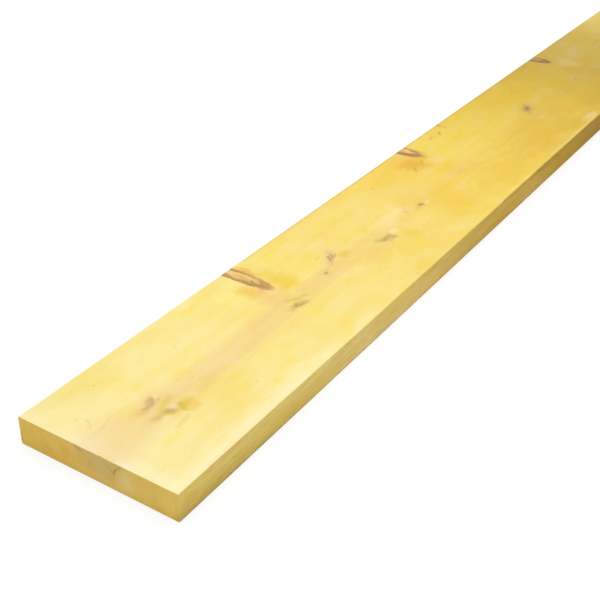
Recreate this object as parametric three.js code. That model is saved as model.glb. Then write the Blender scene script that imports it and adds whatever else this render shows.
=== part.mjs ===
// A planed softwood plank: one straight length of stock with a plain rectangular section,
// its four long arrises lightly eased and both ends cut square.
// Millimetres, +Z up. X runs along the plank, Y across its width, Z through its thickness.
// The origin is the middle of the underside, so the plank lies flat on Z = 0.

import * as THREE from "three";

// Driving dimensions.
const LENGTH = 2400; // end to end, a stocked length of 8 ft
const WIDTH = 225; // edge to edge, a 9 in board
const THICKNESS = 38; // underside to top face, 1 1/2 in
const ARRIS_RADIUS = 1.5; // easing that the planer leaves on each long arris
const ARRIS_FACETS = 6; // flats along the quarter round of each arris, an even number

// Planed, unfinished softwood.
const WOOD_COLOUR = 0xf0d27c;
const WOOD_ROUGHNESS = 0.62;
const WOOD_METALNESS = 0;

const QUARTER_TURN = Math.PI / 2;

// The section looking along the plank: across is horizontal and centred, up is vertical from the underside.
// Each corner is a quarter round, and the flat faces are the straight lines that join one round to the next.
function plankSection() {
  const across = WIDTH / 2 - ARRIS_RADIUS;
  const lower = ARRIS_RADIUS;
  const upper = THICKNESS - ARRIS_RADIUS;
  const arrises = [
    { across: across, up: lower },
    { across: across, up: upper },
    { across: -across, up: upper },
    { across: -across, up: lower },
  ];
  const section = new THREE.Shape();
  arrises.forEach((arris, index) => {
    const start = (index - 1) * QUARTER_TURN;
    section.absarc(arris.across, arris.up, ARRIS_RADIUS, start, start + QUARTER_TURN, false);
  });
  return section;
}

// The whole plank, sawn square at both ends. The section is drawn in the XY plane and runs along Z,
// so the mesh is turned to lay that Z along the part's X, with the section's up along the part's Z.
function makePlank() {
  const solid = new THREE.ExtrudeGeometry(plankSection(), {
    depth: LENGTH,
    steps: 1,
    bevelEnabled: false,
    curveSegments: ARRIS_FACETS / 2, // three.js cuts an arc into twice this many flats
  });
  const wood = new THREE.MeshStandardMaterial({
    color: WOOD_COLOUR,
    roughness: WOOD_ROUGHNESS,
    metalness: WOOD_METALNESS,
  });
  const plank = new THREE.Mesh(solid, wood);
  plank.name = "plank";
  plank.rotation.set(QUARTER_TURN, QUARTER_TURN, 0);
  plank.position.set(-LENGTH / 2, 0, 0);
  return plank;
}

const timberPlank = new THREE.Group();
timberPlank.name = "timber_plank";
timberPlank.add(makePlank());

export default timberPlank;
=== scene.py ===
"""Dresses a planed softwood plank: its body, with eased arrises and a drying check in the end grain,
and the figure of the wood, one solid pattern of growth rings, branches and stains that every face
cuts through.

Lengths in the tables are millimetres. A place on the plank is (along, across, height): along from the
near end, across from the left edge, height above the underside. Blender's own units are metres.
"""

import math
from collections import namedtuple

import bmesh
import bpy
import numpy as np
from mathutils import Matrix, Vector


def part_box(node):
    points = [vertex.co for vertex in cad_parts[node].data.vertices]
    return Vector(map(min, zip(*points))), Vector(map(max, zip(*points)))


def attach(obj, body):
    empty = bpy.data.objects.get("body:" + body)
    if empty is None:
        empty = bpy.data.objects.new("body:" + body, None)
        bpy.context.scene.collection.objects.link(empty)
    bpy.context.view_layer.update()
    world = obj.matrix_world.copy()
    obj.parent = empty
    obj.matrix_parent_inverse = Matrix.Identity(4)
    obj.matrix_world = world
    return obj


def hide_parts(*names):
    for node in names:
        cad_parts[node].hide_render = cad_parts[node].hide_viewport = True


MM = 0.001

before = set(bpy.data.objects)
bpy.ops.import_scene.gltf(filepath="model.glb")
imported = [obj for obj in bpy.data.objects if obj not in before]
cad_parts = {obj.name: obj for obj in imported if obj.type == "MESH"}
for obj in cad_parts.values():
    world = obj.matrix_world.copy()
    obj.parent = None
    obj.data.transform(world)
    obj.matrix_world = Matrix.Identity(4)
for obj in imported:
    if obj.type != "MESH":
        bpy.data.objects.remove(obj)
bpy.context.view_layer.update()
plank_low, plank_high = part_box("plank")
LENGTH, WIDTH, THICKNESS = ((plank_high - plank_low) / MM)[:]
ARRIS_RADIUS = 1.5

# ---------------------------------------------------------------- places and colours


def place(along, across, height):
    """A place on the plank as a point in the frame, in metres."""
    return Vector(
        (plank_low.x + along * MM, plank_high.y - across * MM, plank_low.z + height * MM)
    )


def as_vector(values):
    """Numbers as the plain tuple that a socket takes."""
    return tuple(float(v) for v in values)


def tone(code):
    """A colour written as rrggbb, as the linear colour that a shader takes."""
    channels = [int(code[i : i + 2], 16) / 255 for i in (0, 2, 4)]
    linear = [c / 12.92 if c <= 0.04045 else ((c + 0.055) / 1.055) ** 2.4 for c in channels]
    return (*linear, 1.0)


# ---------------------------------------------------------------- camera

FRAME_PIXELS = 600
FOCAL_PIXELS = 1052.8
SENSOR_MM = 36.0
CAMERA_PLACE = (-602.3, 750.6, 762.8)  # along, across and height, as for a place on the plank
CAMERA_TURN = math.radians(32.60)  # from straight along the plank towards its left edge
CAMERA_TILT = math.radians(31.91)  # down from level
CAMERA_ROLL = math.radians(1.00)


def make_camera():
    data = bpy.data.cameras.new("camera")
    data.sensor_fit = "HORIZONTAL"
    data.sensor_width = SENSOR_MM
    data.lens = FOCAL_PIXELS / FRAME_PIXELS * SENSOR_MM
    camera = bpy.data.objects.new("camera", data)
    forward = Vector(
        (
            math.cos(CAMERA_TURN) * math.cos(CAMERA_TILT),
            math.sin(CAMERA_TURN) * math.cos(CAMERA_TILT),
            -math.sin(CAMERA_TILT),
        )
    )
    level = forward.cross(Vector((0, 0, 1))).normalized()
    upright = level.cross(forward)
    right = math.cos(CAMERA_ROLL) * level + math.sin(CAMERA_ROLL) * upright
    up = math.cos(CAMERA_ROLL) * upright - math.sin(CAMERA_ROLL) * level
    turn = Matrix((right, up, -forward)).transposed().to_4x4()
    camera.matrix_world = Matrix.Translation(place(*CAMERA_PLACE)) @ turn
    bpy.context.scene.collection.objects.link(camera)
    bpy.context.scene.camera = camera


# ---------------------------------------------------------------- formulas as nodes


class Field:
    """A node's output that can be used in a formula, with numbers and with other fields."""

    def __init__(self, tree, socket):
        self.tree = tree
        self.socket = socket

    def math(self, operation, *others, clamp=False):
        node = self.tree.nodes.new("ShaderNodeMath")
        node.operation = operation
        node.use_clamp = clamp
        for slot, value in zip(node.inputs, (self, *others)):
            feed(slot, value)
        return Field(self.tree, node.outputs[0])

    def vector(self, operation, *others):
        node = self.tree.nodes.new("ShaderNodeVectorMath")
        node.operation = operation
        for slot, value in zip(node.inputs, (self, *others)):
            feed(slot, value)
        out = "Value" if operation in ("LENGTH", "DOT_PRODUCT", "DISTANCE") else "Vector"
        return Field(self.tree, node.outputs[out])

    def __add__(self, other):
        return self.math("ADD", other)

    __radd__ = __add__

    def __sub__(self, other):
        return self.math("SUBTRACT", other)

    def __rsub__(self, other):
        return (self * -1) + other

    def __mul__(self, other):
        return self.math("MULTIPLY", other)

    __rmul__ = __mul__

    def __truediv__(self, other):
        return self.math("DIVIDE", other)

    def at_least(self, other):
        return self.math("MAXIMUM", other)

    def at_most(self, other):
        return self.math("MINIMUM", other)

    def scaled(self, factor):
        """A vector times a number."""
        node = self.tree.nodes.new("ShaderNodeVectorMath")
        node.operation = "SCALE"
        feed(node.inputs[0], self)
        feed(node.inputs["Scale"], factor)
        return Field(self.tree, node.outputs["Vector"])

    def ramp(self, low, high, to_low=0.0, to_high=1.0, smooth=True):
        """Goes from to_low to to_high, evenly or smoothly, as this value goes from low to high."""
        node = self.tree.nodes.new("ShaderNodeMapRange")
        node.interpolation_type = "SMOOTHSTEP" if smooth else "LINEAR"
        node.clamp = not smooth  # a smooth ramp stops at its ends without it
        for slot, value in zip(node.inputs, (self, low, high, to_low, to_high)):
            feed(slot, value)
        return Field(self.tree, node.outputs[0])

    def parts(self):
        """The three numbers of a vector."""
        node = self.tree.nodes.new("ShaderNodeSeparateXYZ")
        feed(node.inputs[0], self)
        return [Field(self.tree, out) for out in node.outputs]


def feed(slot, value):
    """Links a field or a socket to an input, or sets a plain number, vector or colour on it."""
    if isinstance(value, Field):
        slot.id_data.links.new(value.socket, slot)
    else:
        slot.default_value = value


def vector_of(tree, x, y, z):
    node = tree.nodes.new("ShaderNodeCombineXYZ")
    for slot, value in zip(node.inputs, (x, y, z)):
        feed(slot, value)
    return Field(tree, node.outputs[0])


def noise(tree, at, fineness, detail=2.0, rough=0.5, warp=0.0):
    """Cloudy noise from 0 to 1, about 0.5 on average. fineness is how closely it repeats on each axis.

    detail, rough and warp are how many finer layers it has, how strong they are and how far it is bent.
    """
    spread = at.vector("MULTIPLY", fineness)
    node = tree.nodes.new("ShaderNodeTexNoise")
    settings = {"Vector": spread, "Scale": 1.0, "Detail": detail, "Roughness": rough, "Distortion": warp}
    for label, value in settings.items():
        feed(node.inputs[label], value)
    return Field(tree, node.outputs["Fac"])


def noise_along(tree, value, detail=2.0):
    """Noise from 0 to 1 that changes with one number only."""
    node = tree.nodes.new("ShaderNodeTexNoise")
    node.noise_dimensions = "1D"
    feed(node.inputs["W"], value)
    feed(node.inputs["Scale"], 1.0)
    feed(node.inputs["Detail"], detail)
    return Field(tree, node.outputs["Fac"])


def noise_vector(tree, at, scale, detail):
    """Three independent cloudy noises as a vector."""
    node = tree.nodes.new("ShaderNodeTexNoise")
    feed(node.inputs["Vector"], at)
    feed(node.inputs["Scale"], scale)
    feed(node.inputs["Detail"], detail)
    return Field(tree, node.outputs["Color"])


def graded(tree, value, stops):
    """A colour that changes with a value from 0 to 1 through stops, each (value, rrggbb)."""
    node = tree.nodes.new("ShaderNodeValToRGB")
    feed(node.inputs[0], value)
    elements = node.color_ramp.elements
    while len(elements) < len(stops):
        elements.new(0.5)
    for element, (position, code) in zip(elements, stops):
        element.position = position
        element.color = tone(code)
    return Field(tree, node.outputs["Color"])


def blend(tree, amount, below, above, mode="MIX"):
    """Lays one colour over another by an amount."""
    node = tree.nodes.new("ShaderNodeMix")
    node.data_type = "RGBA"
    node.blend_type = mode
    sockets = [s for s in node.inputs if s.enabled]
    for slot, value in zip(sockets, (amount, below, above)):
        feed(slot, value)
    return Field(tree, next(s for s in node.outputs if s.enabled))


SOCKET_KINDS = {
    "number": "NodeSocketFloat",
    "vector": "NodeSocketVector",
    "colour": "NodeSocketColor",
    "geometry": "NodeSocketGeometry",
    "count": "NodeSocketInt",
    "material": "NodeSocketMaterial",
}


def new_group(name, tree_kind, inputs, outputs):
    """A node group with these sockets, given as {label: kind}.

    Returns the tree, its inputs as fields and its output node.
    """
    tree = bpy.data.node_groups.new(name, tree_kind)
    for label, kind in inputs.items():
        tree.interface.new_socket(label, in_out="INPUT", socket_type=SOCKET_KINDS[kind])
    for label, kind in outputs.items():
        tree.interface.new_socket(label, in_out="OUTPUT", socket_type=SOCKET_KINDS[kind])
    start = tree.nodes.new("NodeGroupInput")
    end = tree.nodes.new("NodeGroupOutput")
    return tree, {label: Field(tree, start.outputs[label]) for label in inputs}, end


def use_group(tree, group, values):
    """Places a shader group in a tree, with its values given as {label: value}.

    Returns its outputs as fields, by their labels.
    """
    node = tree.nodes.new("ShaderNodeGroup")
    node.node_tree = group
    for label, value in values.items():
        feed(node.inputs[label], value)
    return {out.name: Field(tree, out) for out in node.outputs}


# ---------------------------------------------------------------- the tree that the plank was sawn from

RING_WIDTH = 3.6
RING_UNEVENNESS = 5.0  # by how many rings' widths they bunch and spread
RING_BUNCH_FINENESS = 0.07  # how closely that repeats, per millimetre of radius
# Where in each ring, from 0 at its inner side to 1, the latewood darkens and where it stops.
LATEWOOD_RISE = (0.40, 0.90)
LATEWOOD_END = (1.0, 0.92)
# The pith's way through the plank: it drifts across near the end and sinks slowly along the length.
PITH_ACROSS = 118.5
PITH_END_DRIFT = 17.0
PITH_DRIFT_LENGTH = 250.0
PITH_SLOPE = -0.006
PITH_HEIGHT = 23.0
PITH_FALL = 0.004

# A branch is a cone round the line from start to end, both (along, across, height). It pulls the growth
# rings out round it. lean thickens its rim on the side towards the near end. finish names its look.
Branch = namedtuple("Branch", "start end start_radius end_radius lean finish")

BRANCHES = [
    # The first whorl: three knots beside the pith.
    Branch((68, 128, 12), (105, 100, 43), 1.5, 4.6, 0, "smudge"),
    Branch((84, 127, 22), (103, 134, 42), 1.5, 5.0, 0, "olive"),
    Branch((118.5, 136, 14), (123.5, 143.5, 45), 6.0, 13.2, 0, "sound"),
    # The second whorl: the great spike knot that runs out at the left edge, and small ones by the pith.
    Branch((380.5, 92, 23), (383, -3, 45), 12.0, 12.2, 0.3, "spike"),
    Branch((330, 118, 24), (380, 131, 42), 1.5, 4.4, 0, "olive"),
    Branch((451, 116, 26), (457, 115, 42), 1.0, 2.8, 0, "pin"),
    Branch((455, 122, 22), (512, 90, 45), 2.0, 4.6, 0, "smudge"),
    Branch((548, 118, 20), (606, 142, 47), 2.5, 6.4, 0, "olive"),
    Branch((679, 115, 28), (681, 118, 42), 1.0, 4.6, 0, "ringlet"),
    Branch((700, 122, 22), (719, 126, 43), 1.5, 4.0, 0, "pin"),
    # The third whorl.
    Branch((873.5, 56, 17.2), (875.0, -3, 41.1), 14.2, 14.6, 0.72, "bark_spike"),
    Branch((1160, 110, 20), (1186, 102, 43), 2.2, 5.6, 0, "dark"),
    # The fourth whorl.
    Branch((1450, 56, 17.2), (1444, -3, 41.1), 14.2, 14.6, 0.72, "dead_spike"),
    # The whorls beyond, and the branches that run out at the underside.
    Branch((1690, 118, 12), (1708, 132, 44), 3.0, 9.0, 0, "sound"),
    Branch((1742, 112, 14), (1748, 104, 42), 1.5, 4.2, 0, "pin"),
    Branch((2034, 110, 10), (2052, 84, 44), 2.5, 8.0, 0, "olive"),
    Branch((2080, 116, 12), (2092, 130, 43), 1.5, 4.8, 0, "smudge"),
    Branch((376, 122, 20), (360, 150, -5), 3.0, 8.0, 0, "sound"),
    Branch((862, 116, 17), (850, 92, -5), 2.5, 7.0, 0, "dark"),
    Branch((1440, 112, 15), (1426, 138, -5), 2.5, 8.5, 0, "sound"),
]

# How a branch's section looks. The heart is its wood, and a spot at its middle is darker. The rim is the
# bark or the dead wood round it, rim_width thick. A line marks its outside. The halo is the wood that it
# darkens round it, out to about halo_reach. soft is how far its outlines blur.
Finish = namedtuple(
    "Finish", "heart heart_amount rim rim_amount rim_width line_amount halo halo_amount halo_reach soft"
)

FINISHES = {
    "smudge": Finish("cfa668", 0.48, "a97c44", 0.50, 0.8, 0.0, "eccb82", 0.62, 6.0, 3.4),
    "olive": Finish("cfb05c", 0.60, "a98a44", 0.55, 0.8, 0.0, "e9cb6c", 0.65, 6.0, 3.4),
    "sound": Finish("f1c758", 0.80, "dcb650", 0.22, 0.9, 0.03, "f1d070", 0.35, 4.0, 3.0),
    "spike": Finish("eec274", 0.85, "ba8850", 0.92, 5.6, 0.34, "f3d47c", 0.35, 6.0, 1.3),
    "bark_spike": Finish("e7bc6a", 0.80, "ad773e", 0.95, 8.4, 0.22, "e7bc50", 0.50, 6.0, 1.5),
    "dead_spike": Finish("bc904c", 0.85, "8c5a10", 0.92, 8.4, 0.35, "c9a143", 0.60, 6.0, 1.5),
    "pin": Finish("c0924e", 0.90, "8f662e", 0.65, 0.6, 0.0, "e0b668", 0.55, 4.0, 2.2),
    "ringlet": Finish("f4dea0", 0.40, "c8a95c", 0.42, 1.4, 0.0, "eed090", 0.15, 3.0, 1.4),
    "dark": Finish("ae7c44", 0.70, "84571f", 0.60, 0.8, 0.0, "bf964d", 0.70, 9.0, 2.6),
}

BRANCH_RING_WIDTH = 1.5
BRANCH_RING_SHADE = 0.12
# How a branch's mottle makes its rim and its heart patchy, as ramps: between which values of the mottle,
# and from which share of the colour to which. The rim's width changes with the mottle too.
RIM_PATCHES = (0.25, 0.50, 0.72, 1.0)
HEART_PATCHES = (0.30, 0.55, 0.60, 1.0)
RIM_THINNEST = 0.7
RIM_UNEVENNESS = 0.6
# The spot at its middle: between which shares of the branch's radius it grows, how ragged it is, and how
# strong it is against the rim.
CORE_EDGE = (0.85, 0.15)
CORE_RAGGEDNESS = 0.5
CORE_AMOUNT = 0.6
LINE_WIDTH = 0.5  # against how soft the outlines are
# How far the plank's rings bulge round a branch of radius 1, how far that reaches, and at which share of
# the branch's radius it starts to fade. Along the grain it reaches further.
RING_PULL = 1.3
RING_PULL_REACH = 9.0
RING_PULL_START = 0.6
ALONG_GRAIN_SQUEEZE = 0.42

# A stain is a soft spot in the wood: its middle, how far it reaches along, across and in depth, and the
# colour it goes towards and by how much.
Stain = namedtuple("Stain", "middle reach colour amount")

STAINS = [
    # Pale, yellow, olive and orange spots of the upper face. The later ones lie over the earlier ones.
    Stain((60, 8, 38), (70, 16, 14), "f0d97e", 0.45),
    Stain((34, 84, 38), (36, 16, 12), "f6dc9e", 0.60),
    Stain((328, 44, 38), (20, 22, 10), "fce898", 0.60),
    Stain((330, 147, 38), (32, 20, 12), "f2d676", 0.50),
    Stain((92, 22, 38), (46, 38, 12), "f1d96c", 0.55),
    Stain((200, 14, 38), (24, 14, 12), "f2da7a", 0.45),
    Stain((340, 16, 38), (36, 14, 12), "f2d874", 0.40),
    Stain((168, 156, 38), (54, 36, 12), "f0d466", 0.68),
    Stain((250, 82, 38), (50, 26, 12), "f9e9a6", 0.30),
    Stain((218, 100, 38), (34, 14, 12), "fceab8", 0.32),
    Stain((262, 117, 38), (30, 9, 12), "fce6b4", 0.20),
    Stain((246, 140, 38), (90, 14, 12), "efd07c", 0.38),
    Stain((318, 102, 38), (34, 14, 12), "f0d27e", 0.35),
    Stain((330, 180, 38), (24, 34, 12), "f2da78", 0.45),
    # A painted highlight along the right arris near the near end, paling the right of the upper face and
    # the top of the right edge.
    Stain((120, 226, 34), (310, 26, 18), "fbf2c4", 0.70),
    Stain((4, 60, 38), (14, 110, 14), "fbf0c8", 0.30),
    Stain((10, 174, 38), (12, 60, 8), "fef6d4", 0.24),
    Stain((88, 201, 38), (30, 11, 8), "fef2c4", 0.42),
    Stain((128, 159, 38), (20, 10, 8), "f3dc88", 0.42),
    Stain((84, 155, 38), (13, 8, 6), "fbecb6", 0.45),
    Stain((72, 128, 38), (12, 10, 6), "efd28a", 0.32),
    Stain((357, 58, 38), (17, 22, 12), "edc354", 0.85),
    Stain((397, 25, 38), (8, 24, 12), "dbaa38", 0.90),
    Stain((404, 67, 38), (22, 46, 12), "ebca44", 0.88),
    Stain((365, 92, 38), (26, 20, 10), "eec580", 0.80),
    Stain((381, 99, 38), (14, 12, 10), "e9c868", 0.55),
    Stain((835, 119, 38), (40, 14, 10), "f3d486", 0.50),
    Stain((1295, 72, 38), (44, 40, 14), "d8b628", 0.45),
    Stain((830, 188, 38), (40, 24, 12), "ecc652", 0.40),
    Stain((1090, 141, 38), (60, 16, 12), "e0b942", 0.40),
    Stain((1012, 22, 38), (20, 10, 8), "eac450", 0.50),
    Stain((1230, 207, 38), (30, 12, 12), "d4b04c", 0.50),
    Stain((1134, 131, 38), (30, 20, 12), "dfb748", 0.50),
    Stain((1140, 190, 38), (52, 22, 14), "dcb422", 0.55),
    Stain((1296, 190, 38), (52, 26, 14), "d0a628", 0.55),
    Stain((111, 117, 38), (18, 7, 6), "e3cb60", 0.50),
    Stain((86, 127, 38), (14, 6, 6), "ddc068", 0.50),
    Stain((80, 109, 38), (11, 8, 6), "eac074", 0.45),
    Stain((452, 52, 38), (36, 30, 12), "f2d96a", 0.50),
    Stain((516, 106, 38), (16, 9, 8), "e6c846", 0.80),
    Stain((548, 146, 38), (46, 16, 12), "efc76e", 0.60),
    Stain((626, 156, 38), (16, 22, 8), "ecc943", 0.70),
    Stain((700, 102, 38), (14, 9, 8), "e8cc51", 0.65),
    Stain((760, 162, 38), (60, 44, 14), "edc543", 0.75),
    Stain((838, 42, 38), (34, 34, 12), "e7b138", 0.90),
    Stain((880, 74, 38), (20, 15, 10), "f4d781", 0.70),
    Stain((916, 64, 38), (26, 18, 10), "f1d552", 0.50),
    Stain((930, 96, 38), (70, 24, 10), "f3db87", 0.30),
    Stain((930, 180, 38), (110, 62, 20), "e8c03a", 0.75),
    Stain((1080, 176, 38), (110, 60, 20), "dfb536", 0.60),
    Stain((1140, 10, 38), (26, 10, 10), "e4c947", 0.50),
    Stain((1165, 204, 38), (40, 22, 14), "dab630", 0.70),
    Stain((1216, 101, 38), (30, 10, 10), "e9c878", 0.50),
    # A painted highlight at the right arris.
    Stain((1214, 213, 38), (34, 10, 10), "ead38c", 0.70),
    Stain((720, 12, 38), (90, 14, 12), "f6dc82", 0.45),
    Stain((975, 20, 38), (26, 14, 8), "ecc638", 0.60),
    Stain((1200, 150, 38), (52, 32, 14), "d9b03c", 0.50),
    Stain((552, 46, 38), (50, 34, 14), "f3d260", 0.45),
    Stain((552, 214, 38), (56, 20, 14), "f0cd58", 0.55),
    Stain((644, 108, 38), (44, 20, 12), "f8e4a4", 0.50),
    Stain((30, 44, 38), (36, 20, 12), "f8e394", 0.40),
    Stain((348, 88, 38), (18, 14, 8), "ecc974", 0.45),
    Stain((1200, 8, 38), (44, 12, 10), "d8b23e", 0.40),
    Stain((1284, 44, 38), (26, 16, 10), "e4ba2c", 0.45),
    Stain((1384, 8, 38), (36, 14, 10), "c49e30", 0.45),
    Stain((1450, 143, 38), (44, 22, 12), "c29e2c", 0.45),
    Stain((1466, 74, 38), (26, 30, 12), "dcc078", 0.60),
    Stain((1306, 60, 38), (24, 56, 12), "dcb61e", 0.42),
    Stain((1394, 40, 38), (32, 26, 12), "d0a81a", 0.45),
    Stain((474, 141, 38), (34, 20, 12), "fbecbc", 0.27),
    Stain((672, 104, 38), (32, 22, 12), "f9e8b0", 0.30),
    Stain((288, 8, 38), (26, 8, 8), "fdefc2", 0.48),
    Stain((484, 71, 38), (22, 12, 10), "f0d052", 0.42),
    Stain((240, 200, 38), (32, 10, 8), "fdf0c0", 0.42),
    Stain((1172, 212, 38), (30, 9, 8), "deb62a", 0.42),
    # The near end's pale wood beside the check and along its foot, and the spots of the right edge.
    Stain((0, 152, 19), (10, 15, 26), "fefde8", 0.90),
    Stain((0, 192, 18), (12, 40, 24), "fdf4c2", 0.50),
    Stain((0, 216, 16), (12, 20, 26), "fff3b8", 0.95),
    Stain((0, 56, 8), (12, 30, 13), "fbe0a0", 0.55),
    Stain((0, 112, 4), (12, 34, 13), "fdf3d2", 0.85),
    Stain((50, 227, 0), (200, 12, 20), "dccc94", 0.80),
    Stain((360, 227, 8), (90, 10, 22), "fdeebe", 0.60),
    Stain((500, 227, 5), (90, 10, 18), "fbe6a6", 0.60),
    Stain((908, 227, 9), (44, 10, 10), "f4dca4", 0.40),
    Stain((975, 227, 37), (70, 8, 12), "c8a248", 0.35),
]

# Stains that lie over the branches too.
GLAZES = [
    Stain((119, 136, 38), (16, 8, 7), "d8be48", 0.80),
    Stain((131, 132, 38), (6, 5, 7), "ead466", 0.60),
    Stain((96, 113, 38), (8, 5, 5), "f2cd90", 0.55),
    Stain((112, 100, 38), (5, 4, 5), "fde2a6", 0.80),
    Stain((109, 129, 38), (6, 9, 5), "f2d6a4", 0.80),
    Stain((89, 138, 38), (9, 5, 5), "fbdfa4", 0.55),
    Stain((358, 26, 38), (14, 18, 8), "fce896", 0.50),
    Stain((390.5, 46, 38), (4, 9, 6), "e3b86c", 0.55),
    Stain((369, 67, 38), (7, 13, 8), "e9b877", 0.60),
    Stain((383, 83, 38), (10, 8, 8), "f8d084", 0.70),
    Stain((393, 90, 38), (8, 10, 8), "eac450", 0.50),
    Stain((392.5, 34, 38), (4, 16, 6), "dcb063", 0.50),
    Stain((392, 13, 38), (4, 14, 6), "d3a552", 0.45),
    Stain((384, 13, 38), (4, 14, 6), "f8cc80", 0.30),
    Stain((387, 130, 38), (6, 4, 5), "f8dc9a", 0.40),
    Stain((500, 107, 38), (9, 5, 5), "f7d290", 0.55),
    Stain((506, 86, 38), (8, 6, 5), "ecc486", 0.45),
    Stain((616, 132, 38), (12, 6, 5), "fadfa0", 0.90),
    Stain((727, 128, 38), (8, 5, 5), "fad692", 0.70),
    Stain((878.5, 16, 38), (4.5, 16, 6), "f2c68c", 0.70),
    Stain((889, 16, 38), (4, 20, 6), "cfa54a", 0.45),
    Stain((877, 46, 38), (7, 7, 6), "cfa046", 0.80),
    Stain((1193, 108, 38), (8, 4, 5), "dbad6f", 0.60),
]

# A mark is a thin spindle in the wood from one place to another, with its width, its colour and how much
# of it there is.
Mark = namedtuple("Mark", "start end width colour amount")

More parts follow.
